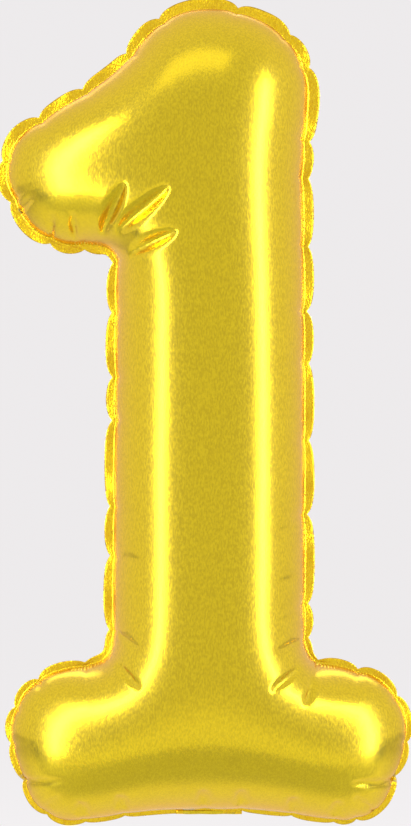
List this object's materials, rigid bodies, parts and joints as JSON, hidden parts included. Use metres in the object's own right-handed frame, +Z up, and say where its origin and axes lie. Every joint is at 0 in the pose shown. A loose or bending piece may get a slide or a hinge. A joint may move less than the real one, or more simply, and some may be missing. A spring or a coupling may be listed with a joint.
{
  "type": "foil number balloon",
  "caption": "Air-filled foil balloon shaped as the figure 1: two welded film panels with an inner self-sealing valve and a folded filling tail.",
  "frame": {"origin": "hanging point: middle of the welded margin at the very top, in the plane of the seam and over the axis of the stem", "axes": "+Z up the figure; the front of the figure faces -Y; X across it, with the flag of the 1 at -X"},
  "size_m": [0.1754, 0.0875, 0.3492],
  "materials": {
    "gold_foil": "gold metallised film, mirror-like with a fine grain",
    "welded_film": "fused sealant layer of the film, dull",
    "clear_film": "thin clear polyethylene",
    "release_ink": "printed heat-resistant ink"
  },
  "bodies": {
    "balloon": {"front_panel": "gold_foil", "back_panel": "gold_foil", "seam_weld": "welded_film", "valve_front_film": "clear_film", "valve_back_film": "clear_film", "valve_right_weld": "clear_film", "valve_left_weld": "clear_film", "valve_release_patch": "release_ink"},
    "tail_root": {"tail_root_front_film": "gold_foil", "tail_root_back_film": "gold_foil", "tail_root_right_weld": "welded_film", "tail_root_left_weld": "welded_film"},
    "tail_tip": {"tail_tip_front_film": "gold_foil", "tail_tip_back_film": "gold_foil", "tail_tip_right_weld": "welded_film", "tail_tip_left_weld": "welded_film"}
  },
  "joints": [
    {"name": "tail_root_crease", "type": "hinge", "parent": "balloon", "child": "tail_root", "pos_m": [0, 0, -0.3423], "axis": [1, 0, 0], "range_deg": [-214, 0]},
    {"name": "tail_tip_crease", "type": "hinge", "parent": "tail_root", "child": "tail_tip", "pos_m": [0, 0.02819, -0.33204], "axis": [1, 0, 0], "range_deg": [-68, 0]}
  ]
}
